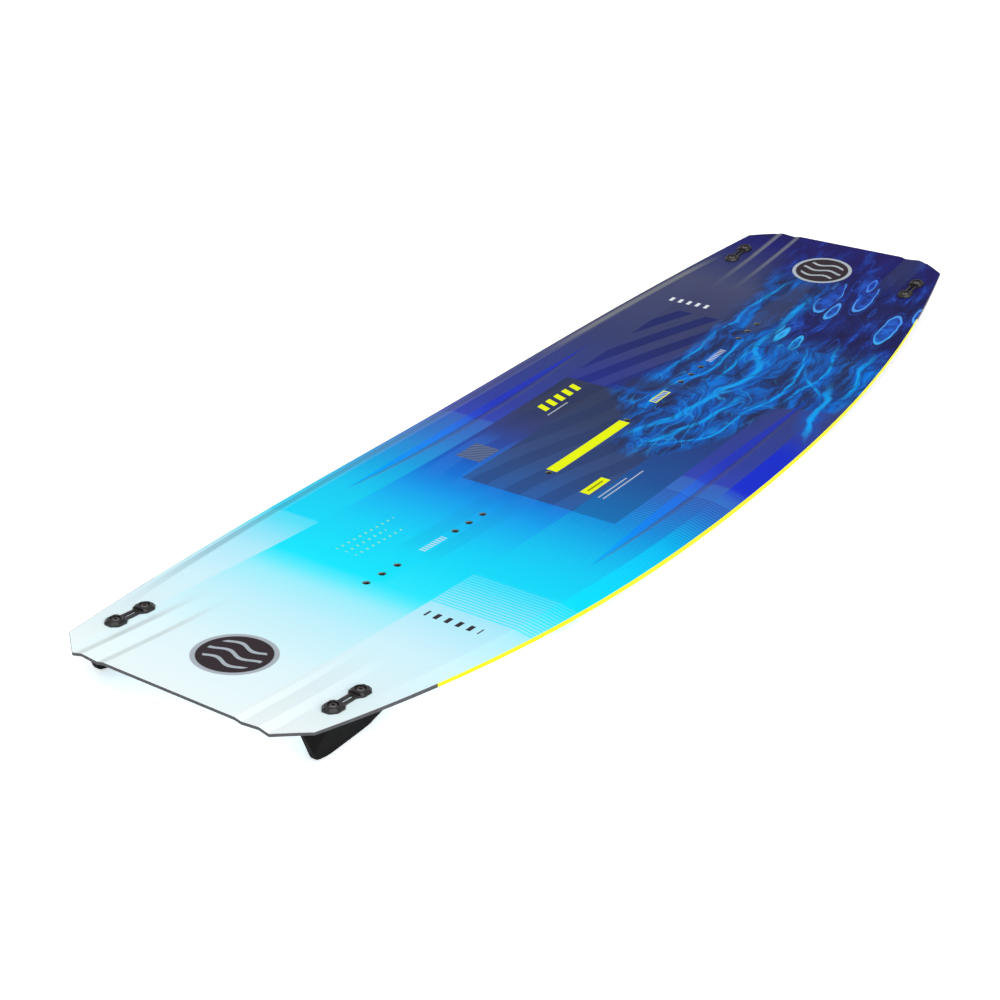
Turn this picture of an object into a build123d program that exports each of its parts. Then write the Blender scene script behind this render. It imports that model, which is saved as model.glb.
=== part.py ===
from build123d import *
import math
import os

os.makedirs("parts", exist_ok=True)

# All sizes in millimetres. Z = 0 is the floor the fins stand on, X runs tip to tip, Y across.
LENGTH = 1380.0
WIDTH = 418.0
ROCKER = 43.4  # rise of the side rails from the middle to the tips
STANCE_HEIGHT = 0.8  # gap under the belly when the board stands on its fins
CROWN_MID = 5.2  # deck above the side rails, middle
CROWN_TIP = 0.5
RAIL_MID = 5.7  # height of the side wall, middle
RAIL_TIP = 2.6
SIDE_TAPER = 63.0  # half-width lost between the middle and the corners
SIDE_POWER = 2.45
CORNER_BACK = 24.0  # tip edge to the start of the corner cut, along X
CORNER_IN = 29.0  # width the corner cut takes off each side
SIDE_FACETS = 54  # straight runs that make up each curved side
BEVEL = 22.0  # width of the slope between deck and rail
GROOVE_END = 250.0  # the deck groove fades out here
GROOVE_DEPTH = 3.0
GROOVE_MID = WIDTH / 2 - 52.0
GROOVE_IN = 11.5
GROOVE_OUT = 9.0
CHANNEL_START = LENGTH / 2 - 190.0  # tip channels begin here, full depth at CHANNEL_FULL
CHANNEL_FULL = LENGTH / 2 - 60.0
CHANNEL_INSET = (131.0, 123.5, 104.0, 93.5)  # each crease, from the widest part of the side
CHANNEL_Y = tuple(WIDTH / 2 - inset for inset in CHANNEL_INSET)
CHANNEL_DROP = (0.0, 1.8, 0.0, 2.7)
SHEET = 0.5
LAMINATE = 0.6
LIP = 0.4  # rail width left showing round the sheets
RAIL_ROOT = 8.0  # rail width between the laminates
RAIL_BREAK = LENGTH / 2 - 161.0  # the coloured side rails end here

INSERT_PITCH = 25.0
BINDING_X = (238.0, 387.0)  # middle insert of each group of three
HANDLE_X = 84.5
INSERT_R = 4.25
INSERT_FLANGE_R = 7.0
INSERT_FOOT = 6.9  # deck to the bottom of an insert
INSERT_BORE_R = 2.6
INSERT_BORE_FOOT = 6.2

FIN_X = LENGTH / 2 - 86.2
FIN_Y = WIDTH / 2 - 78.6
SCREW_GAP = 38.0
SCREW_R = 3.0
SCREW_CLEARANCE = 0.3  # round the screws, in the plates and the board
THREAD_CLEARANCE = 0.05
SCREW_RUNOUT = 0.9  # insert left free under the end of a screw
HEAD_R = 4.7
HEAD_HEIGHT = 2.6
HEAD_SEAT = 1.7  # deck to the underside of the screw head
HEAD_CLEARANCE = 0.5
SOCKET_R = 2.0
PLATE_HEIGHT = 4.2
PLATE_BEVEL = 2.2
PLATE_RIM = 1.5  # width of the raised ring round a screw head
LOBE_WIDTH = 18.6
LOBE_OUT = 10.6  # screw to the outer end of its lobe
LOBE_IN = 11.5  # screw to the start of the waist
WAIST_WIDTH = 9.6
WAIST_DIP = 2.0
SLOT_WIDTH = 3.6
SLOT_LENGTH = 16.0
FIN_LENGTH = 128.0
FIN_ROOT = 13.0
FIN_TIP = 3.4
FIN_OVERLAP = 0.6  # blade carried above the rail's lower edge before the hull trims it
FIN_INSERT_WALL = 1.15
FIN_INSERT_LENGTH = 8.5
BLOCK_LENGTH = 72.0
BLOCK_WIDTH = 21.0

HALF = LENGTH / 2
CORNERS = {"al": (-1, 1), "ar": (-1, -1), "bl": (1, 1), "br": (1, -1)}


def half_width(x):
    return WIDTH / 2 - SIDE_TAPER * (abs(x) / (HALF - CORNER_BACK)) ** SIDE_POWER


def rail_bottom(x):
    return STANCE_HEIGHT + (ROCKER + RAIL_MID - RAIL_TIP) * (x / HALF) ** 2


def rail_top(x):
    return STANCE_HEIGHT + RAIL_MID + ROCKER * (x / HALF) ** 2


def crown(x):
    return CROWN_MID + (CROWN_TIP - CROWN_MID) * (x / HALF) ** 2


def deck(x):
    return rail_top(x) + crown(x)


def channel_share(x):
    s = (abs(x) - CHANNEL_START) / (CHANNEL_FULL - CHANNEL_START)
    s = min(max(s, 0.0), 1.0)
    return s * s * (3 - 2 * s)


def bevel_start(x):
    return half_width(x) - BEVEL + 10.0 * (x / HALF) ** 4


def edge_points(x, crest):
    """Inner and outer end of the rail bevel, run on a little past the rail."""
    y0 = bevel_start(x)
    y1 = half_width(x)
    out = y1 + 6.0
    share = channel_share(x)
    drop = CHANNEL_DROP[-1] * share
    straight = drop + (crest - drop) * (y0 - CHANNEL_Y[-1]) / (y1 - CHANNEL_Y[-1])
    z0 = straight * share
    slope = (crest - z0) / (y1 - y0)
    return [(y0, -z0), (out, -(z0 + slope * (out - y0)))]


def groove_points(x):
    """Long shallow V that runs beside each rail in the middle of the deck."""
    share = 1 - (x / GROOVE_END) ** 2
    depth = GROOVE_DEPTH * share
    spread = 0.25 + 0.75 * share
    inner = GROOVE_MID - GROOVE_IN * spread
    outer = GROOVE_MID + GROOVE_OUT * spread
    return [(inner, 0.0), (GROOVE_MID, -depth), (outer, 0.0)]


def channel_points(x):
    share = channel_share(x)
    return [(y, -d * share) for y, d in zip(CHANNEL_Y, CHANNEL_DROP)]


def top_line(x, zone):
    """Half of the deck's cross section, centre to rail, measured from the deck height."""
    if zone == "middle":
        inner = groove_points(x)
    elif zone == "tip":
        inner = channel_points(x)
    else:
        inner = []
    return inner + edge_points(x, crown(x))


def bottom_line(x, zone):
    """Half of the hull's cross section, measured from the hull height."""
    if zone == "tip":
        flat = edge_points(x, 0.0)
        return channel_points(x) + flat
    return [(half_width(x) + 6.0, 0.0)]


def section(x, zone, sink, rise):
    """Closed cross section between the deck lowered by sink and the hull raised by rise."""
    top = [(y, deck(x) + z - sink) for y, z in top_line(x, zone)]
    low = [(y, rail_bottom(x) + z + rise) for y, z in bottom_line(x, zone)]
    return closed_section(x, top, low)


def skin_section(x, zone, upper, lower, on_deck):
    """Closed cross section of a thin layer that follows the deck or the hull."""
    line = top_line(x, zone) if on_deck else bottom_line(x, zone)
    base = deck(x) if on_deck else rail_bottom(x)
    top = [(y, base + z + upper) for y, z in line]
    low = [(y, base + z + lower) for y, z in line]
    return closed_section(x, top, low)


def closed_section(x, top, low):
    points = [(x, -y, z) for y, z in reversed(top)]
    points += [(x, y, z) for y, z in top]
    points += [(x, y, z) for y, z in reversed(low)]
    points += [(x, -y, z) for y, z in low]
    return Wire.make_polygon([Vector(*p) for p in points], close=True)


def spread(start, end, count):
    return [start + (end - start) * i / count for i in range(count + 1)]


def tip_stations():
    past = HALF + 8.0
    fade = spread(CHANNEL_START, CHANNEL_FULL, 5)
    return fade + [(CHANNEL_FULL + past) / 2, past]


def run_of_sections(make):
    """Five straight-ruled lofts end to end, so creases stay sharp and layers match exactly."""
    middle = [make(x, "middle") for x in spread(-GROOVE_END, GROOVE_END, 10)]
    plain = [make(x, "plain") for x in spread(GROOVE_END, CHANNEL_START, 5)]
    tip = [make(x, "tip") for x in tip_stations()]
    back = [make(-x, "plain") for x in reversed(spread(GROOVE_END, CHANNEL_START, 5))]
    tail = [make(-x, "tip") for x in reversed(tip_stations())]
    runs = [Solid.make_loft(s, ruled=True) for s in (middle, plain, tip, back, tail)]
    return Part() + runs


def slab(sink, rise):
    return run_of_sections(lambda x, zone: section(x, zone, sink, rise))


def skin(upper, lower, on_deck):
    return run_of_sections(lambda x, zone: skin_section(x, zone, upper, lower, on_deck))


def outline(inset):
    """Plan shape of the board as a tall prism, drawn in by inset all round."""
    x1 = HALF - CORNER_BACK
    tip = half_width(x1) - CORNER_IN
    side = [(x, half_width(x)) for x in spread(-x1, x1, SIDE_FACETS)]
    left = [(-HALF, tip)] + side + [(HALF, tip)]
    right = [(x, -y) for x, y in reversed(left)]
    face = make_face(Polyline(*left, *right, close=True).edges())
    if inset:
        face = offset(face, amount=-inset, kind=Kind.INTERSECTION)
    return Pos(0, 0, -20) * extrude(face, amount=120, dir=(0, 0, 1))


def tilt_at(side):
    """Frame on the deck between one pair of fin screws, Z square to the deck along X."""
    end, flank = side
    slope = 2 * (ROCKER + CROWN_TIP - CROWN_MID) * FIN_X / HALF**2
    angle = math.degrees(math.atan(slope)) * end
    height = deck(FIN_X) - plate_drop()
    return Pos(end * FIN_X, flank * FIN_Y, height) * Rot(0, -angle, 0)


def plate_drop():
    """Deck height lost between the centre line and the fin screws."""
    inner = CHANNEL_Y[-1]
    drop = CHANNEL_DROP[-1] * channel_share(FIN_X)
    reach = (FIN_Y - inner) / (half_width(FIN_X) - inner)
    return drop + (crown(FIN_X) - drop) * reach


def screw_spots(side):
    frame = tilt_at(side)
    return [frame * Pos(s * SCREW_GAP / 2, 0, 0) for s in (-1, 1)]


def screw_holes():
    holes = []
    for side in CORNERS.values():
        for spot in screw_spots(side):
            holes.append(spot * Pos(0, 0, -20) * Cylinder(SCREW_R + SCREW_CLEARANCE, 60))
    return holes


def insert_spots():
    spots = []
    for end in (-1, 1):
        for middle in BINDING_X:
            for step in (-1, 0, 1):
                spots.append(end * middle + step * INSERT_PITCH)
    return sorted(spots)


def insert_body(x):
    """Outer shape of one threaded insert, taller than it will finish."""
    foot = deck(x) - INSERT_FOOT
    stem = Pos(x, 0, foot) * extrude(Circle(INSERT_R), amount=INSERT_FOOT + 3)
    flange = Pos(x, 0, foot) * extrude(Circle(INSERT_FLANGE_R), amount=1.4)
    return stem + flange


def deck_insert(x, core):
    """Threaded insert, flush with the core and open through the laminate and sheet above."""
    bore = Pos(x, 0, deck(x) - INSERT_BORE_FOOT) * extrude(Circle(INSERT_BORE_R), amount=12)
    mouth = Pos(x, 0, deck(x) - SHEET - LAMINATE) * Cylinder(INSERT_BORE_R + 0.6, 1.0)
    return (insert_body(x) & core) - bore - mouth


def fin_block_shape(side):
    end, flank = side
    plan = RectangleRounded(BLOCK_LENGTH, BLOCK_WIDTH, 5)
    return Pos(end * FIN_X, flank * FIN_Y, -10) * extrude(plan, amount=100)


def plate_outline():
    """Plan of a washer plate: two faceted lobes joined by a narrow waist."""
    reach = SCREW_GAP / 2
    corners = [
        (reach - LOBE_IN, WAIST_WIDTH / 2),
        (reach - LOBE_IN * 0.5, LOBE_WIDTH / 2),
        (reach + LOBE_OUT * 0.42, LOBE_WIDTH / 2),
        (reach + LOBE_OUT, LOBE_WIDTH * 0.22),
    ]
    corner = corners + [(x, -y) for x, y in reversed(corners)]
    other = [(-x, -y) for x, y in corner]
    face = make_face(Polyline(*corner, *other, close=True).edges())
    return fillet(face.vertices(), PLATE_BEVEL + 1)


def washer_plate(side, blank):
    """Bevelled plate with a slot in its waist and a raised ring round each screw head."""
    shape = Pos(0, 0, -3) * extrude(plate_outline(), amount=3 + PLATE_HEIGHT)
    shape = chamfer(shape.edges().group_by(Axis.Z)[-1], PLATE_BEVEL)
    waist = SCREW_GAP - 2 * (HEAD_R + HEAD_CLEARANCE + PLATE_RIM) - 2
    shape = shape - Pos(0, 0, PLATE_HEIGHT - WAIST_DIP + 5) * Box(waist, LOBE_WIDTH, 10)
    shape = shape - extrude(SlotOverall(SLOT_LENGTH, SLOT_WIDTH), amount=20, both=True)
    for x in (-SCREW_GAP / 2, SCREW_GAP / 2):
        rim = Pos(x, 0, PLATE_HEIGHT - 1) * Cylinder(HEAD_R + HEAD_CLEARANCE + PLATE_RIM, 3)
        shape = shape + chamfer(rim.edges().group_by(Axis.Z)[-1], 0.5)
    for x in (-SCREW_GAP / 2, SCREW_GAP / 2):
        seat = Pos(x, 0, HEAD_SEAT + 5) * Cylinder(HEAD_R + HEAD_CLEARANCE, 10)
        shape = shape - seat - Pos(x, 0, 0) * Cylinder(SCREW_R + SCREW_CLEARANCE, 40)
    return tilt_at(side) * shape - blank


def fin_screw(spot):
    length = HEAD_SEAT + hull_depth() + FIN_INSERT_LENGTH - SCREW_RUNOUT
    shank = Pos(0, 0, HEAD_SEAT - length) * extrude(Circle(SCREW_R), amount=length)
    shank = chamfer(shank.edges().group_by(Axis.Z)[0], 0.6)
    head = Pos(0, 0, HEAD_SEAT) * extrude(Circle(HEAD_R), amount=HEAD_HEIGHT)
    head = fillet(head.edges().group_by(Axis.Z)[-1], HEAD_HEIGHT * 0.75)
    socket = Pos(0, 0, HEAD_SEAT + 1.0) * extrude(RegularPolygon(SOCKET_R, 6), amount=5)
    return spot * (shank + head - socket)


def fin_profile():
    """Side view of a fin, X towards the tip, Z above the floor."""
    rear = FIN_X - FIN_LENGTH / 2
    front = FIN_X + FIN_LENGTH / 2
    root_rear = (rear, rail_bottom(rear) + FIN_OVERLAP)
    root_front = (front + 0.2, rail_bottom(front) + FIN_OVERLAP)
    belly_rear = (FIN_X - 7, 0)
    belly_front = (FIN_X + 24, 0)
    back = Spline(
        root_rear,
        (rear + 4.5, 15),
        (rear + 15, 6.4),
        (rear + 31, 2.2),
        belly_rear,
        tangents=[(0.15, -1), (1, 0)],
    )
    nose = Spline(
        belly_front,
        (FIN_X + 39, 2.2),
        (FIN_X + 48, 6.0),
        (front - 13, 13),
        tangents=[(1, 0), (0.3, 1)],
    )
    flat = Line(belly_rear, belly_front)
    rise = Line((front - 13, 13), root_front)
    lid = Line(root_front, root_rear)
    return make_face([*back.edges(), *flat.edges(), *nose.edges(), *rise.edges(), *lid.edges()])


def fin(side, blank):
    """Blade cut from its side view, its tapering thickness and its pointed plan."""
    end, flank = side
    side_view = Rot(90, 0, 0) * extrude(fin_profile(), amount=15, both=True)
    top = rail_bottom(FIN_X) + 8
    wide = FIN_ROOT / 2 + 0.6
    thin = FIN_TIP / 2
    wedge = Polyline((-wide, top), (-thin, 0), (thin, 0), (wide, top), close=True)
    wedge = extrude(Plane.YZ * make_face(wedge.edges()), amount=1000)
    rear = FIN_X - FIN_LENGTH / 2 - 3
    front = FIN_X + FIN_LENGTH / 2 + 3
    cheek = Spline((rear, 1.0), (FIN_X, FIN_ROOT / 2), (front, 1.0))
    other = Spline((rear, -1.0), (FIN_X, -FIN_ROOT / 2), (front, -1.0))
    blunt = Line((rear, -1.0), (rear, 1.0))
    point = Line((front, -1.0), (front, 1.0))
    plan = make_face([*cheek.edges(), *point.edges(), *other.edges(), *blunt.edges()])
    lens = Pos(0, 0, -5) * extrude(plan, amount=100)
    blade = side_view & wedge & lens
    if end < 0:
        blade = Rot(0, 0, 180) * blade
    blade = Pos(0, flank * FIN_Y, 0) * blade
    for spot in screw_spots(side):
        blade = blade - fin_socket(spot)
    return blade - blank


def fin_socket(spot):
    radius = SCREW_R + THREAD_CLEARANCE + FIN_INSERT_WALL
    depth = hull_depth() + FIN_INSERT_LENGTH
    return spot * Pos(0, 0, -depth) * extrude(Circle(radius), amount=FIN_INSERT_LENGTH + 2)


def hull_depth():
    """Deck to hull under the fin screws, square to the deck."""
    return deck(FIN_X) - plate_drop() - rail_bottom(FIN_X) + hull_drop()


def hull_drop():
    inner = CHANNEL_Y[-1]
    drop = CHANNEL_DROP[-1] * channel_share(FIN_X)
    reach = (FIN_Y - inner) / (half_width(FIN_X) - inner)
    return drop * (1 - reach)


def fin_inserts(side, blank):
    sleeves = Part()
    for spot in screw_spots(side):
        bore = spot * Pos(0, 0, -30) * extrude(Circle(SCREW_R + THREAD_CLEARANCE), amount=60)
        sleeves = sleeves + (fin_socket(spot) - bore)
    return sleeves - blank


def save(name, shape):
    solids = shape.solids()
    out = solids[0] if len(solids) == 1 else Compound(children=list(solids))
    out.label = name
    export_step(out, f"parts/{name}.step")


def build():
    blank = slab(0, 0)
    holes = screw_holes()
    spots = insert_spots()
    handle = [-HANDLE_X, HANDLE_X]
    pockets = [insert_body(x) for x in spots + handle]
    lip = outline(LIP)
    full = outline(0)
    inner = outline(RAIL_ROOT)
    layers = {
        "top_sheet": skin(0, -SHEET, True),
        "top_laminate": skin(-SHEET, -SHEET - LAMINATE, True),
        "base_laminate": skin(SHEET + LAMINATE, SHEET, False),
        "base_sheet": skin(SHEET, 0, False),
    }
    for name, layer in layers.items():
        save(name, (layer & lip) - holes - pockets)
    core = slab(SHEET + LAMINATE, SHEET + LAMINATE)
    wood = (core & inner) - pockets
    for tag, side in CORNERS.items():
        block = fin_block_shape(side)
        wood = wood - block
        save(f"fin_block_{tag}", (core & block) - holes)
    save("wood_core", wood)
    rails = ((blank & full) - lip) + ((core & lip) - inner)
    middle = Box(2 * RAIL_BREAK, 2 * WIDTH, 400)
    left = Pos(0, WIDTH, 0) * Box(2 * LENGTH, 2 * WIDTH, 400)
    sides = rails & middle
    ends = rails - middle
    save("side_rail_l", sides & left)
    save("side_rail_r", sides - left)
    ahead = Pos(LENGTH, 0, 0) * Box(2 * LENGTH, 2 * WIDTH, 400)
    save("tip_rail_b", ends & ahead)
    save("tip_rail_a", ends - ahead)
    save("binding_inserts", Part() + [deck_insert(x, core) for x in spots])
    save("handle_inserts", Part() + [deck_insert(x, core) for x in handle])
    for tag, side in CORNERS.items():
        save(f"fin_{tag}", fin(side, blank))
        save(f"fin_inserts_{tag}", fin_inserts(side, blank))
        save(f"washer_plate_{tag}", washer_plate(side, blank))
        for number, spot in enumerate(screw_spots(side), 1):
            save(f"fin_screw_{tag}{number}", fin_screw(spot))


build()
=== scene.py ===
import math

import bpy
from mathutils import Matrix, Vector

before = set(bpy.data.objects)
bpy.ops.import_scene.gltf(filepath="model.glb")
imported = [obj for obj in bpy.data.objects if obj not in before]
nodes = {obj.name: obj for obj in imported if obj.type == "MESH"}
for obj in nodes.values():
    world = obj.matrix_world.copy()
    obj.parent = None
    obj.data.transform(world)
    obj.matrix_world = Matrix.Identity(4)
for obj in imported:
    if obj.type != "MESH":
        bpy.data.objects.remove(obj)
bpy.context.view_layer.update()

# Sizes in the shaders are millimetres, measured from the middle of the board.
HALF_WIDTH = 209.0
SIDE_TAPER = 63.0  # half-width lost between the middle and the corners
SIDE_REACH = 666.0
SIDE_CURVE = 2.45  # the power of x that the side edges follow
BEVEL = 22.0
GROOVE_Y = 157.0
GROOVE_END = 250.0
GROOVE_OUTER = 9.0  # widths of a groove's two walls
GROOVE_INNER = 11.5
CHANNEL_WALLS = ((76, 83), (104, 112))
CHANNEL_FLOOR = (-116, -84)
PANEL_Y = (-73.0, 127.0)  # long centre panel of the print
SLATE_X = (-151.0, 151.0)
SLATE_Y = (-127.0, 72.0)
STRIPE_PITCH = 5.0
BADGE_X = 603.0
BADGE_R = 40.5
BADGE_RING = 4.8
BADGE_MARGIN = 11.5  # from the badge's edge to its waves
THREAD_PITCH = 1.6  # glass cloth
WOOD_STRIP = 19.0
FLOOR_REACH = 300.0  # metres, so that the floor's edge is never seen


# ---------------------------------------------------------------- shader arithmetic


def srgb(red, green, blue):
    """A display colour, 0 to 255, as the linear colour a shader takes."""
    channels = [value / 255 for value in (red, green, blue)]
    linear = [c / 12.92 if c <= 0.04045 else ((c + 0.055) / 1.055) ** 2.4 for c in channels]
    return (*linear, 1.0)


def connect(tree, value, socket):
    """Feeds a field or a plain value into a node's input."""
    if isinstance(value, Field):
        tree.links.new(value.socket, socket)
    else:
        socket.default_value = value


class Field:
    """Something that varies over a surface. Arithmetic on it adds Math nodes."""

    def __init__(self, tree, socket):
        self.tree = tree
        self.socket = socket

    def math(self, operation, *others, clamp=False):
        node = self.tree.nodes.new("ShaderNodeMath")
        node.operation = operation
        node.use_clamp = clamp
        for value, socket in zip((self, *others), node.inputs):
            connect(self.tree, value, socket)
        return Field(self.tree, node.outputs[0])

    def __add__(self, other):
        return self.math("ADD", other)

    def __sub__(self, other):
        return self.math("SUBTRACT", other)

    def __rsub__(self, other):
        return self.math("MULTIPLY_ADD", -1.0, other)

    def __mul__(self, other):
        return self.math("MULTIPLY", other)

    def __truediv__(self, other):
        return self.math("DIVIDE", other)

    def __abs__(self):
        return self.math("ABSOLUTE")

    def power(self, exponent):
        return self.math("POWER", exponent)

    def sine(self):
        return self.math("SINE")

    def least(self, other):
        return self.math("MINIMUM", other)

    def most(self, other):
        return self.math("MAXIMUM", other)

    def fade(self, start, end):
        """0 at start, 1 at end, with a soft ramp between."""
        node = self.tree.nodes.new("ShaderNodeMapRange")
        node.interpolation_type = "SMOOTHSTEP"
        node.inputs["From Min"].default_value = min(start, end)
        node.inputs["From Max"].default_value = max(start, end)
        node.inputs["To Min"].default_value = 0.0 if start < end else 1.0
        node.inputs["To Max"].default_value = 1.0 if start < end else 0.0
        connect(self.tree, self, node.inputs["Value"])
        return Field(self.tree, node.outputs["Result"])

    def inside(self, edge=0.5):
        """1 where the field is above zero, with an edge this wide."""
        return self.math("MULTIPLY_ADD", 1 / edge, 0.5, clamp=True)

    def band(self, low, high, edge=0.5):
        """1 where the field is between two values."""
        return ((high - low) / 2 - abs(self - (low + high) / 2)).inside(edge)

    def wave(self, pitch):
        """Distance, 0 to 1, from the nearest multiple of a pitch."""
        return self.math("PINGPONG", pitch / 2) * (2 / pitch)


def depth(x, y, x0, x1, y0, y1):
    """How far inside a rectangle a point is, from the nearest side."""
    across = (x1 - x0) / 2 - abs(x - (x0 + x1) / 2)
    along = (y1 - y0) / 2 - abs(y - (y0 + y1) / 2)
    return across.least(along)


def box(x, y, x0, x1, y0, y1, edge=0.5):
    """1 inside a rectangle."""
    return depth(x, y, x0, x1, y0, y1).inside(edge)


def frame_line(x, y, x0, x1, y0, y1, line):
    """1 on the outline of a rectangle."""
    return depth(x, y, x0, x1, y0, y1).band(0.0, line, 0.4)


class Paint:
    """A principled material whose inputs are written as fields."""

    def __init__(self, name, **settings):
        self.material = bpy.data.materials.new(name)
        self.material.use_nodes = True
        self.tree = self.material.node_tree
        self.shader = self.tree.nodes["Principled BSDF"]
        for key, value in settings.items():
            self.shader.inputs[key.replace("_", " ")].default_value = value
        coordinates = self.node("ShaderNodeTexCoord").outputs["Object"]
        scale = self.node("ShaderNodeVectorMath")
        scale.operation = "SCALE"
        scale.inputs["Scale"].default_value = 1000.0
        self.tree.links.new(coordinates, scale.inputs[0])
        self.point = Field(self.tree, scale.outputs[0])
        split = self.node("ShaderNodeSeparateXYZ")
        self.tree.links.new(scale.outputs[0], split.inputs[0])
        self.x, self.y, self.z = (Field(self.tree, output) for output in split.outputs)

    def node(self, kind):
        return self.tree.nodes.new(kind)

    def vector(self, operation, *values):
        node = self.node("ShaderNodeVectorMath")
        node.operation = operation
        for value, socket in zip(values, node.inputs):
            connect(self.tree, value, socket)
        return Field(self.tree, node.outputs[0])

    def place(self, x, y, z=0.0):
        """A point made from three fields or numbers."""
        node = self.node("ShaderNodeCombineXYZ")
        for value, socket in zip((x, y, z), node.inputs):
            connect(self.tree, value, socket)
        return Field(self.tree, node.outputs[0])

    def noise(self, point, size, detail=3.0, rough=0.5, output="Fac"):
        """Noise with features about this many millimetres across."""
        node = self.node("ShaderNodeTexNoise")
        node.inputs["Scale"].default_value = 1 / size
        node.inputs["Detail"].default_value = detail
        node.inputs["Roughness"].default_value = rough
        connect(self.tree, point, node.inputs["Vector"])
        return Field(self.tree, node.outputs[output])

    def warp(self, point, size, amount):
        """The point pushed about by noise."""
        shift = self.noise(point, size, 1.0, 0.5, "Color")
        centred = self.vector("SUBTRACT", shift, (0.5, 0.5, 0.5))
        return self.vector("MULTIPLY_ADD", centred, (amount, amount, 0.0), point)

    def parts(self, point):
        """The three coordinates of a point."""
        node = self.node("ShaderNodeSeparateXYZ")
        connect(self.tree, point, node.inputs[0])
        return [Field(self.tree, output) for output in node.outputs]

    def path(self, value, knots):
        """A smooth curve through the knots, read at a value."""
        lows, highs = zip(*knots)
        first, last = min(lows), max(lows)
        bottom, top = min(highs) - 1.0, max(highs) + 1.0
        share = self.node("ShaderNodeMapRange")
        share.inputs["From Min"].default_value = first
        share.inputs["From Max"].default_value = last
        connect(self.tree, value, share.inputs["Value"])
        node = self.node("ShaderNodeFloatCurve")
        points = node.mapping.curves[0].points
        while len(points) < len(knots):
            points.new(0.5, 0.5)
        for point, (low, high) in zip(points, knots):
            point.location = ((low - first) / (last - first), (high - bottom) / (top - bottom))
        node.mapping.update()
        self.tree.links.new(share.outputs["Result"], node.inputs["Value"])
        return Field(self.tree, node.outputs["Value"]) * (top - bottom) + bottom

    def cells(self, point, size):
        """Distance from, and a random number for, the nearest of some scattered points."""
        node = self.node("ShaderNodeTexVoronoi")
        node.inputs["Scale"].default_value = 1 / size
        node.inputs["Randomness"].default_value = 0.85
        connect(self.tree, point, node.inputs["Vector"])
        chance = self.parts(Field(self.tree, node.outputs["Color"]))[0]
        return Field(self.tree, node.outputs["Distance"]), chance

    def ramp(self, value, stops):
        """A colour that follows a value; the stops are (value, colour)."""
        low, high = stops[0][0], stops[-1][0]
        share = self.node("ShaderNodeMapRange")
        share.inputs["From Min"].default_value = low
        share.inputs["From Max"].default_value = high
        connect(self.tree, value, share.inputs["Value"])
        node = self.node("ShaderNodeValToRGB")
        elements = node.color_ramp.elements
        while len(elements) < len(stops):
            elements.new(0.5)
        for element, (place, colour) in zip(elements, stops):
            element.position = (place - low) / (high - low)
            element.color = srgb(*colour)
        self.tree.links.new(share.outputs["Result"], node.inputs["Fac"])
        return Field(self.tree, node.outputs["Color"])

    def mix(self, under, over, amount):
        """Lays one colour over another; plain colours are display values."""
        node = self.node("ShaderNodeMix")
        node.data_type = "RGBA"
        # Inputs 6 and 7 and output 2 are the node's colour sockets.
        for value, socket in ((amount, 0), (under, 6), (over, 7)):
            plain = isinstance(value, tuple)
            connect(self.tree, srgb(*value) if plain else value, node.inputs[socket])
        return Field(self.tree, node.outputs[2])

    def finish(self, colour, roughness=None, bump=None, height=0.1):
        """Plugs the fields into the shader; height is the bump's, in millimetres."""
        connect(self.tree, colour, self.shader.inputs["Base Color"])
        if roughness is not None:
            connect(self.tree, roughness, self.shader.inputs["Roughness"])
        if bump is not None:
            node = self.node("ShaderNodeBump")
            node.inputs["Distance"].default_value = height / 1000
            connect(self.tree, bump, node.inputs["Height"])
            self.tree.links.new(node.outputs["Normal"], self.shader.inputs["Normal"])
        return self.material


# ---------------------------------------------------------------- the deck print, with painted light and shade at its bends

OUTER = (
    (-690, (241, 250, 252)),
    (-600, (226, 244, 248)),
    (-500, (209, 244, 254)),
    (-420, (176, 236, 253)),
    (-350, (97, 227, 251)),
    (-332, (80, 224, 251)),
    (-331, (0, 218, 251)),
    (-250, (0, 205, 243)),
    (-200, (1, 183, 235)),
    (-150, (31, 157, 224)),
    (-75, (51, 122, 203)),
    (-8, (62, 98, 186)),
    (-6, (56, 72, 180)),
    (50, (53, 67, 157)),
    (150, (55, 67, 137)),
    (300, (60, 67, 111)),
    (500, (73, 78, 111)),
    (550, (61, 67, 109)),
    (650, (40, 41, 109)),
    (690, (39, 37, 90)),
)
PANEL = (
    (-690, (238, 251, 253)),
    (-600, (225, 248, 253)),
    (-500, (192, 242, 254)),
    (-450, (157, 240, 254)),
    (-425, (94, 237, 255)),
    (-402, (14, 232, 255)),
    (-300, (0, 211, 248)),
    (-250, (0, 188, 244)),
    (-200, (4, 157, 236)),
    (-150, (21, 117, 214)),
    (-100, (32, 90, 190)),
    (-50, (49, 75, 160)),
    (0, (57, 70, 138)),
    (150, (58, 66, 124)),
    (400, (63, 68, 104)),
    (500, (72, 77, 111)),
    (550, (61, 67, 109)),
    (650, (40, 41, 109)),
    (690, (39, 37, 90)),
)
SLATE = (
    (-150, (47, 96, 166)),
    (-60, (56, 80, 132)),
    (60, (56, 68, 104)),
    (150, (54, 62, 90)),
)
SLATE_FOOT = (
    (-150, (27, 114, 181)),
    (-40, (38, 84, 152)),
    (60, (43, 68, 134)),
    (150, (44, 60, 110)),
)
HULL = (
    (-700, (224, 244, 248)),
    (-250, (0, 190, 236)),
    (100, (30, 60, 160)),
    (700, (30, 32, 84)),
)
YELLOW = (234, 245, 4)
PALE = (222, 228, 236)
INK = (58, 50, 55)
SILVER = (172, 181, 190)
LACQUER_SHINE = 0.009  # how much the lacquer's own shine lightens the print


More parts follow.
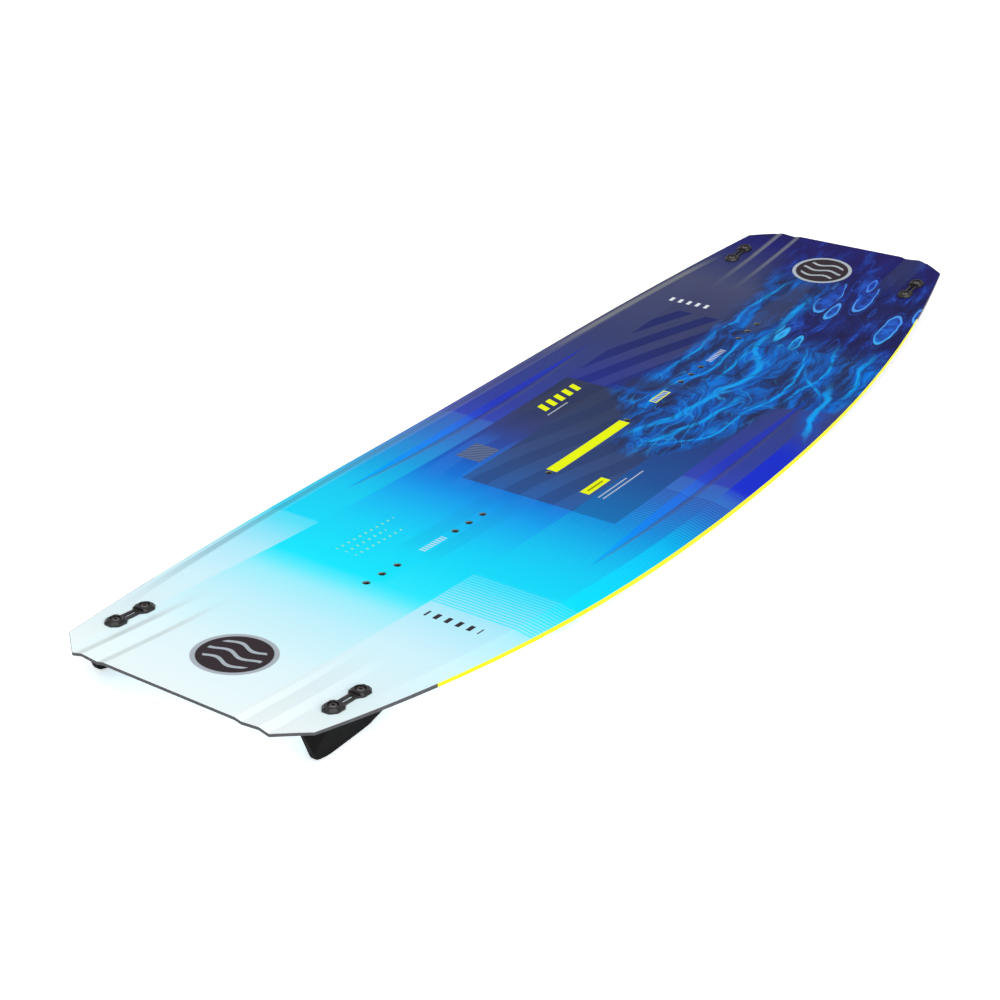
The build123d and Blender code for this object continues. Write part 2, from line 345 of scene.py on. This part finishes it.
def base_print(paint, u, v):
    """Ice to navy along the board, with the deeper centre panel."""
    outer = paint.ramp(u, OUTER)
    panel = paint.ramp(u, PANEL)
    in_panel = v.band(*PANEL_Y, 1.5)
    art = paint.mix(outer, panel, in_panel)
    # Fine cross stripes swap the two gradients on one side.
    stripe = u.wave(STRIPE_PITCH).fade(0.35, 0.65)
    strong = box(u, v, -405, -45, -260, PANEL_Y[0], 1.0)
    faint = box(u, v, -405, -150, PANEL_Y[0], -12, 12.0)
    art = paint.mix(art, panel, stripe * strong * 0.75)
    return paint.mix(art, outer, stripe * faint * 0.12)


def strips_and_rays(paint, art, u, v):
    """Translucent strips along the middle and soft rays that fan out of them."""
    reach = u.fade(-345, -300) * u.fade(-149, -151)
    upper = v.band(6, 26, 1.0)
    lower = v.band(-26, -7, 1.0)
    art = paint.mix(art, (0, 120, 190), (upper + lower) * reach * 0.13)
    lens = (u / 52).sine() * 6 + v
    rays = lens.wave(42.0).fade(0.46, 0.54)
    zone = u.fade(-215, -150) * u.fade(-20, -60) * v.band(*PANEL_Y, 1.0)
    return paint.mix(art, (62, 140, 235), rays * zone * 0.20)


def slate_block(paint, art, u, v):
    """The slate rectangle in the middle, and the block above it."""
    slate = box(u, v, *SLATE_X, PANEL_Y[0], SLATE_Y[1])
    art = paint.mix(art, paint.ramp(u, SLATE), slate)
    foot = box(u, v, *SLATE_X, SLATE_Y[0], PANEL_Y[0])
    art = paint.mix(art, paint.ramp(u, SLATE_FOOT), foot)
    head = box(u, v, -60, SLATE_X[1], SLATE_Y[1], PANEL_Y[1]) * u.fade(-60, 90)
    art = paint.mix(art, (56, 63, 92), head)
    sweep = (u / 60).sine() * 7 + v + u * 0.16
    bands = sweep.wave(44.0).fade(0.47, 0.53)
    return paint.mix(art, (36, 50, 96), bands * (slate + head) * 0.34)


def diagonal_bands(paint, art, u, v):
    """Wide bands that lean down towards the far tip."""
    lean = v + u * 0.12 + u * u * 0.0004 - 91
    bands = lean.wave(40.0).fade(0.52, 0.48)
    zone = box(u, v, SLATE_X[1], 400, -10, PANEL_Y[1], 1.0)
    art = paint.mix(art, (36, 44, 104), bands * zone * 0.85)
    start = u.fade(300, 150) * zone * 0.30
    return paint.mix(art, (45, 55, 175), start)


# Currents of lighter water: places along the board and across it, then a width.
CURRENTS = (
    (((30, -20), (150, -46), (215, -58), (275, -63), (320, -52), (360, -36), (450, -31), (530, -24)), 6.0),
    (((220, -44), (270, -34), (320, -32), (370, -28)), 3.5),
    (((20, -38), (75, -85), (110, -106), (200, -113), (270, -116), (330, -104), (400, -80)), 3.0),
    (((60, -50), (110, -68), (165, -82), (240, -88)), 5.0),
    (((190, 46), (280, 30), (350, 34), (400, 26), (440, 31), (500, 26), (560, 20)), 3.0),
    (((230, -174), (270, -158), (300, -126), (340, -100)), 4.5),
    (((-20, -56), (20, -52), (60, -58), (120, -74)), 4.5),
    (((90, -24), (150, 4), (210, 6), (260, -14), (330, -12), (390, -20)), 3.0),
    (((210, -128), (270, -134), (320, -142), (380, -128), (450, -120)), 3.0),
    (((250, -190), (310, -186), (370, -170), (440, -178), (520, -168)), 4.0),
)
WATER_TOP = ((0, -8), (60, 4), (120, 30), (155, 66), (200, 52), (300, 46), (420, 50), (690, 84))
WATER_FOOT = ((0, -58), (60, -104), (130, -128), (200, -140), (240, -200), (690, -240))
# Shades of water, by how light the noise under them is, in hundredths.
LIVELY_WATER = ((37, (40, 48, 84)), (46, (40, 60, 112)), (53, (32, 84, 166)), (64, (20, 116, 212)))
CALM_WATER = ((38, (34, 34, 78)), (52, (36, 42, 104)), (60, (36, 60, 148)), (70, (44, 98, 205)))
DROP_FILL = ((380, (20, 140, 236)), (500, (44, 104, 220)), (620, (28, 50, 160)))
DROP_SKIN = ((380, (50, 186, 252)), (520, (84, 160, 250)), (650, (56, 94, 214)))
RAIL_CURRENT = ((132, -202), (165, -192), (200, -184), (260, -176), (310, -160))
# These two run across the board, so their places are turned round.
COLUMN_CURRENT = ((-50, 210), (-20, 190), (10, 170), (80, 155))
DARK_TONGUE = ((-56, 214), (-10, 196), (30, 188), (90, 180))
NOISE_SLICE = 41.0  # the height in the noise at which the water is cut


def current(paint, x, y, knots, width):
    """How strongly a current is felt near it, and on it."""
    away = abs(y - paint.path(x, knots))
    start, end = knots[0][0], knots[-1][0]
    along = x.fade(start, start + 60) * x.fade(end, end - 60)
    return away.fade(width * 4.0, 0) * along, away.fade(width, width * 0.2) * along


def currents(paint, here):
    """Dark water with long bright currents in it."""
    bent = paint.warp(paint.warp(here, 95.0, 26.0), 26.0, 6.0)
    x, y, _ = paint.parts(bent)
    drawn = paint.vector("MULTIPLY", paint.warp(bent, 45.0, 26.0), (0.24, 1.0, 1.0))
    tone = paint.noise(drawn, 15.0, 4.5, 0.62)
    body = paint.ramp(tone * 100, LIVELY_WATER)
    near, on = 0.0, 0.0
    for knots, width in CURRENTS:
        glow, core = current(paint, x, y, knots, width)
        near, on = glow + near, core + on
    grain = tone.fade(0.40, 0.56)
    body = paint.mix(body, (20, 104, 208), (near * (grain * 0.5 + 0.35)).least(0.85))
    lively = paint.noise(drawn, 9.0, 3.0, 0.6).fade(0.36, 0.56)
    body = paint.mix(body, (12, 160, 240), (on * (lively * 0.6 + 0.35)).least(0.95))
    level = paint.noise(drawn, 24.0, 1.5, 0.4) * 7.0
    shadow = (level + 0.5).wave(1.0).fade(0.24, 0.04)
    body = paint.mix(body, (36, 42, 78), shadow * 0.55)
    thread = level.wave(1.0).fade(0.20, 0.0)
    loose = paint.noise(here, 70.0, 1.0, 0.5).fade(0.50, 0.62) * 0.35
    return paint.mix(body, (38, 160, 240), thread * (near * 0.5 + loose).least(0.75))


def drops(paint, body, here, zone):
    """Long drops of lighter blue, each with a bright skin."""
    bent = paint.warp(here, 38.0, 11.0)
    x, y, _ = paint.parts(bent)
    leaning = paint.place(x * 0.22 + y * 0.10, y - x * 0.12)
    away, chance = paint.cells(leaning, 24.0)
    inside = chance * 0.40 + 0.19 - away
    cloud = paint.noise(bent, 14.0, 3.0, 0.6).fade(0.35, 0.65)
    fill = paint.ramp(x, DROP_FILL)
    body = paint.mix(body, fill, inside.fade(0.0, 0.09) * (cloud * 0.7 + 0.2) * zone)
    skin = paint.ramp(x, DROP_SKIN)
    body = paint.mix(body, skin, inside.band(0.0, 0.06, 0.04) * zone)
    halo = inside + 0.09
    return paint.mix(body, (44, 92, 205), halo.band(0.0, 0.02, 0.03) * zone * 0.5)


def water(paint, here, u, v):
    """Lively water near the middle and calm water beyond, with drops; also the noise under it."""
    near = currents(paint, here)
    drawn = paint.vector("MULTIPLY", paint.warp(here, 60.0, 30.0), (0.26, 1.0, 1.0))
    tone = paint.noise(drawn, 15.0, 4.5, 0.6)
    calm = paint.ramp(tone * 100, CALM_WATER)
    far = paint.mix(calm, (42, 36, 104), u.fade(530, 680) * 0.66)
    low = (v + (u - 480) * 0.08).fade(-22, -48)
    right = u.fade(350, 420) * low + u.fade(540, 600) * (1 - low)
    body = paint.mix(near, far, right.least(1.0))
    early = u.fade(300, 350) * v.fade(-110, -130)
    body = drops(paint, body, here, (u.fade(345, 400) * low).most(early))
    clusters = paint.noise(here, 60.0, 1.0).fade(0.46, 0.58)
    specks = paint.noise(here, 1.7, 1.0, 0.5).fade(0.68, 0.76) * clusters
    return paint.mix(body, (56, 150, 240), specks * v.fade(-70, -110) * 0.8), tone


def stray_currents(paint, art, here, tone):
    """A current along the rail, and a light and a dark one across the board."""
    x, y, _ = paint.parts(paint.warp(paint.warp(here, 50.0, 22.0), 14.0, 7.0))
    glow, core = current(paint, x, y, RAIL_CURRENT, 6.0)
    art = paint.mix(art, (22, 90, 196), glow * (tone.fade(0.40, 0.60) * 0.6 + 0.3))
    art = paint.mix(art, (20, 170, 250), core * 0.8)
    glow, core = current(paint, y, x, COLUMN_CURRENT, 3.5)
    art = paint.mix(art, (34, 92, 184), (glow * 0.45 + core * 0.4).least(0.8))
    shadow, _ = current(paint, y, x, DARK_TONGUE, 6.0)
    return paint.mix(art, (48, 56, 92), shadow * 0.75)


def marbling(paint, art, u, v):
    """Water over the far half, fading out towards the middle."""
    here = paint.place(u, v, NOISE_SLICE)
    wander = (paint.noise(here, 60.0, 3.0, 0.55) - 0.5) * 70
    upper = paint.path(u, WATER_TOP)
    lower = paint.path(u, WATER_FOOT)
    region = (upper - v + wander * 0.6).fade(-8, 26) * (v - lower + wander * 0.3).fade(-4, 14)
    region = region * (u + wander).fade(-20, 55)
    patch = ((u - 470) / 100).power(2.0) + ((v + 2) / 19).power(2.0)
    calm_patch = (patch + wander * 0.012).fade(1.0, 0.6)
    body, tone = water(paint, here, u, v)
    art = paint.mix(art, body, region * 0.95)
    art = paint.mix(art, (60, 68, 104), region * calm_patch * 0.75)
    return stray_currents(paint, art, here, tone)


def side_distance(paint):
    """Millimetres in from the nearer side edge."""
    taper = (abs(paint.x) / SIDE_REACH).power(SIDE_CURVE) * SIDE_TAPER
    return HALF_WIDTH - taper - abs(paint.y)


def groove_wall(away, share, width):
    """1 on one wall of a groove, which narrows towards the groove's ends."""
    return away.band(0.0, width, 1.0) * (share * width - away).inside(1.0)


def painted_bend_shading(paint, art):
    """Painted light and shade where the deck bends: bevels, grooves and tip channels."""
    x = paint.x
    y = paint.y
    rim = side_distance(paint)
    left = y.fade(-1, 1)
    right = y.fade(1, -1)
    # The left bevel's band gets painted shade from the near half to the middle, and a painted grey
    # reflection towards the far tip.
    band = rim.band(7, 17, 2.0) * left
    art = paint.mix(art, (10, 96, 128), band * x.fade(120, -60) * x.fade(-620, -420) * 0.34)
    art = paint.mix(art, (28, 40, 120), band * x.fade(-60, 60) * x.fade(300, 180) * 0.6)
    art = paint.mix(art, (122, 126, 132), band * x.fade(170, 330) * x.fade(600, 500) * 0.85)
    # The right bevel faces the key light and is painted lighter and more saturated: painted light.
    painted_lit_bevel = rim.fade(BEVEL + 1, BEVEL - 1) * right
    art = paint.mix(art, (0, 226, 255), painted_lit_bevel * x.fade(-430, -330) * x.fade(-60, -200) * 0.35)
    art = paint.mix(art, (24, 44, 205), painted_lit_bevel * x.fade(-40, 5) * x.fade(180, 90) * 0.75)
    share = 1.0 - (x / GROOVE_END) * (x / GROOVE_END)
    outer = groove_wall(abs(y) - GROOVE_Y, share, GROOVE_OUTER)
    inner = groove_wall(GROOVE_Y - abs(y), share, GROOVE_INNER)
    # Groove walls facing the key light are painted lighter (painted light); those facing away are painted
    # darker (painted shade).
    lit = outer * left + inner * right
    shaded = inner * left + outer * right
    art = paint.mix(art, (24, 120, 255), lit * x.fade(60, -80) * 0.42)
    art = paint.mix(art, (32, 48, 200), lit * x.fade(-80, 60) * 0.5)
    art = paint.mix(art, (40, 52, 110), shaded * 0.34)
    # Tip channel walls: a painted grey reflection at the far tip, and painted shade on the pale near tip.
    near_wall, far_wall = (y.band(*wall, 1.0) for wall in CHANNEL_WALLS)
    walls = near_wall + far_wall
    art = paint.mix(art, (112, 116, 130), walls * x.fade(470, 620) * 0.8)
    art = paint.mix(art, (196, 208, 206), walls * x.fade(-520, -620) * 0.5)
    # The far tip's channel floor is greyed: a painted reflection.
    return paint.mix(art, (60, 68, 98), y.band(*CHANNEL_FLOOR, 1.0) * x.fade(560, 640) * 0.45)


def badges(paint, art):
    """A ringed disc with three waves at each tip."""
    x = abs(paint.x) - BADGE_X
    y = paint.y
    radius = (x * x + y * y).math("SQRT")
    art = paint.mix(art, SILVER, (BADGE_R - radius).inside(0.8))
    art = paint.mix(art, INK, (BADGE_R - BADGE_RING - radius).inside(0.8))
    swell = (y / 6.2).sine() * 3.2 + x
    waves = swell.wave(17.0).fade(0.30, 0.22)
    middle = (BADGE_R - BADGE_MARGIN - radius).inside(0.8)
    return paint.mix(art, SILVER, waves * middle * swell.band(-26, 26))


def marks(paint, art, u, v):
    """Plain blocks, dashes and dots in place of any wording."""
    art = paint.mix(art, YELLOW, box(u, v, -79, 79, -7, 7))
    art = paint.mix(art, YELLOW, box(u, v, -107, -62, -67, -55))
    art = paint.mix(art, (120, 126, 30), box(u, v, -100, -69, -62.5, -59.5) * 0.8)
    slant = u - v * 0.35
    blocks = (slant + 2.0).wave(17.5).fade(0.42, 0.50)
    art = paint.mix(art, YELLOW, blocks * box(slant, v, 13, 102, 94, 110))
    dashes = u.wave(3.4).fade(0.2, 0.5)
    lines = box(u, v, 44, 88, 85, 87) + box(u, v, -107, -48, -80, -78)
    lines = lines + box(u, v, -107, -22, -86, -84)
    art = paint.mix(art, PALE, lines * dashes * 0.8)
    square = box(u, v, -107, -66, 79, 112)
    foil = (u + v).wave(9.0).fade(0.4, 0.6)
    art = paint.mix(art, (104, 118, 140), square * 0.8)
    art = paint.mix(art, (66, 80, 118), square * foil * 0.7)
    rows = v.band(70, 72.6) + v.band(58, 60.6) * u.band(-370, -304) + v.band(45.5, 48) * u.band(-370, -286)
    dots = (u - 1.5).wave(9.4).fade(0.72, 0.86)
    art = paint.mix(art, (190, 235, 90), rows * dots * u.band(-370, -276) * 0.85)
    rungs = (v + 0.5).wave(13.0).fade(0.56, 0.66)
    art = paint.mix(art, INK, box(u, v, -433, -422, -149, -85) * rungs)
    art = paint.mix(art, PALE, box(u, v, 422, 433, 81, 145) * rungs)
    ticks = u.wave(4.6).fade(0.3, 0.55)
    scales = box(u, v, -321, -282, -4, 4) + box(u, v, 282, 321, -4, 4)
    art = paint.mix(art, PALE, scales * ticks * 0.6)
    centre_scale = box(u, v, 144, 179, -5, 5)
    edge_line = frame_line(u, v, 144, 179, -5, 5, 1.4)
    return paint.mix(paint.mix(art, PALE, centre_scale * ticks * 0.6), YELLOW, edge_line)


def deck_print_and_painted_shading():
    """The printed top sheet under its satin lacquer, with painted light and shade where the deck bends."""
    paint = Paint("deck_print_and_painted_shading", Specular_IOR_Level=0.05)
    u = paint.x
    v = paint.y
    art = base_print(paint, u, v)
    art = strips_and_rays(paint, art, u, v)
    art = slate_block(paint, art, u, v)
    art = diagonal_bands(paint, art, u, v)
    art = marbling(paint, art, u, v)
    # Painted light and shade at the bevels, grooves and tip channels.
    art = painted_bend_shading(paint, art)
    art = marks(paint, art, u, v)
    art = badges(paint, art)
    art = paint.vector("SUBTRACT", art, (LACQUER_SHINE,) * 3)
    art = paint.vector("MAXIMUM", art, (0.0, 0.0, 0.0))
    mottle = paint.noise(paint.point, 3.0, 4.0, 0.6)
    roughness = mottle * 0.12 + 0.26
    peel = paint.noise(paint.point, 1.6, 2.0, 0.5)
    return paint.finish(art, roughness, peel, 0.02)


# ---------------------------------------------------------------- the other materials


def woven_laminate():
    """Glass cloth set in resin."""
    paint = Paint("glass_laminate", Specular_IOR_Level=0.5)
    warp_threads = paint.x.wave(THREAD_PITCH)
    weft_threads = paint.y.wave(THREAD_PITCH)
    weave = abs(warp_threads - weft_threads)
    colour = paint.ramp(weave * 100, ((0, (150, 160, 138)), (100, (206, 212, 190))))
    return paint.finish(colour, weave * 0.2 + 0.3, weave, 0.08)


def strip_wood():
    """Paulownia strips glued side by side."""
    paint = Paint("wood_strips", Specular_IOR_Level=0.3)
    strip = (paint.y / WOOD_STRIP).math("FLOOR")
    offset = paint.place(paint.x, paint.y + strip * 37, strip * 50)
    grain_point = paint.vector("MULTIPLY", offset, (0.03, 1.0, 1.0))
    grain = paint.noise(grain_point, 3.2, 5.0, 0.6)
    shade = paint.noise(paint.place(strip * 13.7, 0.0), 7.0, 0.0)
    tone = grain * 60 + shade * 40
    colour = paint.ramp(tone, ((25, (150, 112, 72)), (50, (196, 160, 112)), (80, (224, 196, 150))))
    seam = paint.y.wave(WOOD_STRIP).fade(0.06, 0.02)
    colour = paint.mix(colour, (120, 90, 60), seam * 0.6)
    return paint.finish(colour, grain * 0.2 + 0.5, grain, 0.15)


def hull_print():
    """Plain navy hull with broad cyan and yellow bands, scuffed by use."""
    paint = Paint("hull_print", Specular_IOR_Level=0.4)
    sweep = paint.x + paint.y * 0.6
    colour = paint.ramp(sweep, HULL)
    bands = sweep.wave(300.0).fade(0.9, 0.93) * 0.7
    colour = paint.mix(colour, (20, 30, 90), bands)
    middle = abs(paint.y).band(14, 18)
    colour = paint.mix(colour, YELLOW, middle * abs(paint.x).fade(402, 400))
    scuffs = paint.noise(paint.vector("MULTIPLY", paint.point, (0.05, 1.0, 1.0)), 1.5, 3.0, 0.6)
    return paint.finish(colour, scuffs * 0.25 + 0.2, scuffs, 0.02)


def moulded_rail(name, dark, light):
    """Milled plastic side wall, with the fine marks of the cutter along it."""
    paint = Paint(name, Specular_IOR_Level=0.12)
    cutter = paint.noise(paint.vector("MULTIPLY", paint.point, (0.08, 0.6, 3.0)), 2.2, 3.0, 0.6)
    colour = paint.ramp(cutter * 100, ((30, dark), (70, light)))
    return paint.finish(colour, cutter * 0.25 + 0.3, cutter, 0.05)


def black_plastic(name, dark, light, grain, roughness, gloss=0.12):
    """Glass-filled black plastic with a sparked mould finish."""
    paint = Paint(name, Specular_IOR_Level=gloss)
    spark = paint.noise(paint.point, grain, 3.0, 0.65)
    cloud = paint.noise(paint.point, 14.0, 3.0, 0.6)
    tone = spark * 60 + cloud * 40
    colour = paint.ramp(tone, ((35, dark), (65, light)))
    return paint.finish(colour, cloud * 0.18 + roughness, spark, 0.10)


def metal(name, dark, light, roughness):
    """Turned metal with fine circular tool marks."""
    paint = Paint(name, Metallic=1.0)
    tooling = paint.noise(paint.vector("MULTIPLY", paint.point, (1.0, 1.0, 8.0)), 1.2, 3.0, 0.6)
    colour = paint.ramp(tooling * 100, ((30, dark), (70, light)))
    return paint.finish(colour, tooling * 0.2 + roughness, tooling, 0.02)


def dress(material, *prefixes):
    """Gives a material to every CAD node whose name starts with a prefix."""
    for name, piece in nodes.items():
        if name.startswith(prefixes):
            piece.data.materials.clear()
            piece.data.materials.append(material)


def dress_everything():
    dress(deck_print_and_painted_shading(), "top_sheet")
    dress(woven_laminate(), "top_laminate", "base_laminate")
    dress(strip_wood(), "wood_core")
    dress(hull_print(), "base_sheet")
    dress(moulded_rail("yellow_rail", (236, 236, 0), (255, 255, 4)), "side_rail")
    dress(moulded_rail("dark_rail", (66, 66, 70), (92, 93, 96)), "tip_rail")
    dress(black_plastic("fin_block", (120, 122, 120), (168, 170, 165), 1.2, 0.5), "fin_block")
    fins = black_plastic("fin_plastic", (4, 4, 5), (10, 10, 11), 0.9, 0.5, 0.06)
    dress(fins, "fin_al", "fin_ar", "fin_bl", "fin_br")
    dress(black_plastic("plate_plastic", (18, 16, 17), (46, 42, 44), 0.7, 0.26, 0.5), "washer_plate")
    inserts = metal("insert_steel", (84, 82, 82), (176, 172, 168), 0.28)
    dress(inserts, "binding_inserts", "handle_inserts", "fin_inserts")
    dress(metal("black_steel", (78, 74, 76), (150, 144, 144), 0.24), "fin_screw")


# ---------------------------------------------------------------- studio

CAMERA_PLACE = Vector((-1.6430, -1.0166, 0.92695))
CAMERA_TARGET = Vector((-0.1673, 0.0091, 0.01025))
CAMERA_ROLL = math.radians(-0.515)
CAMERA_LENS = 66.86
# How bright the studio is at a height, from the horizon at 0 to straight up at 1.
SKY = ((0.0, 1.0), (0.16, 0.8), (0.30, 0.25), (0.65, 0.3), (0.9, 0.9))


def add_camera():
    data = bpy.data.cameras.new("camera")
    data.lens = CAMERA_LENS
    data.sensor_width = 36.0
    camera = bpy.data.objects.new("camera", data)
    turn = (CAMERA_TARGET - CAMERA_PLACE).to_track_quat("-Z", "Y").to_matrix().to_4x4()
    camera.matrix_world = Matrix.Translation(CAMERA_PLACE) @ turn @ Matrix.Rotation(CAMERA_ROLL, 4, "Z")
    bpy.context.scene.collection.objects.link(camera)
    bpy.context.scene.camera = camera


def add_floor():
    mesh = bpy.data.meshes.new("floor")
    signs = ((-1, -1), (1, -1), (1, 1), (-1, 1))
    corners = [(x * FLOOR_REACH, y * FLOOR_REACH, 0) for x, y in signs]
    mesh.from_pydata(corners, [], [(0, 1, 2, 3)])
    floor = bpy.data.objects.new("floor", mesh)
    bpy.context.scene.collection.objects.link(floor)
    paint = Paint("floor", Roughness=0.9, Specular_IOR_Level=0.0)
    cloud = paint.noise(paint.point, 400.0, 2.0)
    pale = paint.ramp(cloud * 100, ((0, (250, 250, 250)), (100, (254, 254, 254))))
    connect(paint.tree, pale, paint.shader.inputs["Emission Color"])
    paint.shader.inputs["Emission Strength"].default_value = 0.45
    mesh.materials.append(paint.finish(pale))


def add_sun(name, strength, direction, spread):
    data = bpy.data.lights.new(name, "SUN")
    data.energy = strength
    data.angle = math.radians(spread)
    light = bpy.data.objects.new(name, data)
    light.rotation_euler = Vector(direction).to_track_quat("Z", "Y").to_euler()
    bpy.context.scene.collection.objects.link(light)


def add_world():
    """A pale studio: bright at the horizon and overhead, dimmer between."""
    world = bpy.data.worlds.new("studio")
    world.use_nodes = True
    tree = world.node_tree
    background = tree.nodes["Background"]
    coordinates = tree.nodes.new("ShaderNodeTexCoord")
    split = tree.nodes.new("ShaderNodeSeparateXYZ")
    ramp = tree.nodes.new("ShaderNodeValToRGB")
    tree.links.new(coordinates.outputs["Generated"], split.inputs[0])
    tree.links.new(split.outputs["Z"], ramp.inputs["Fac"])
    tree.links.new(ramp.outputs["Color"], background.inputs["Color"])
    elements = ramp.color_ramp.elements
    while len(elements) < len(SKY):
        elements.new(0.5)
    for element, (place, grey) in zip(elements, SKY):
        element.position = place
        element.color = (grey, grey, grey, 1.0)
    bpy.context.scene.world = world


def add_studio():
    bpy.context.scene.view_settings.view_transform = "Standard"
    add_camera()
    add_floor()
    add_world()
    add_sun("key", 1.55, (-0.35, -1.0, 0.75), 50)
    add_sun("top", 0.6, (0.1, 0.1, 1.0), 80)


dress_everything()
add_studio()
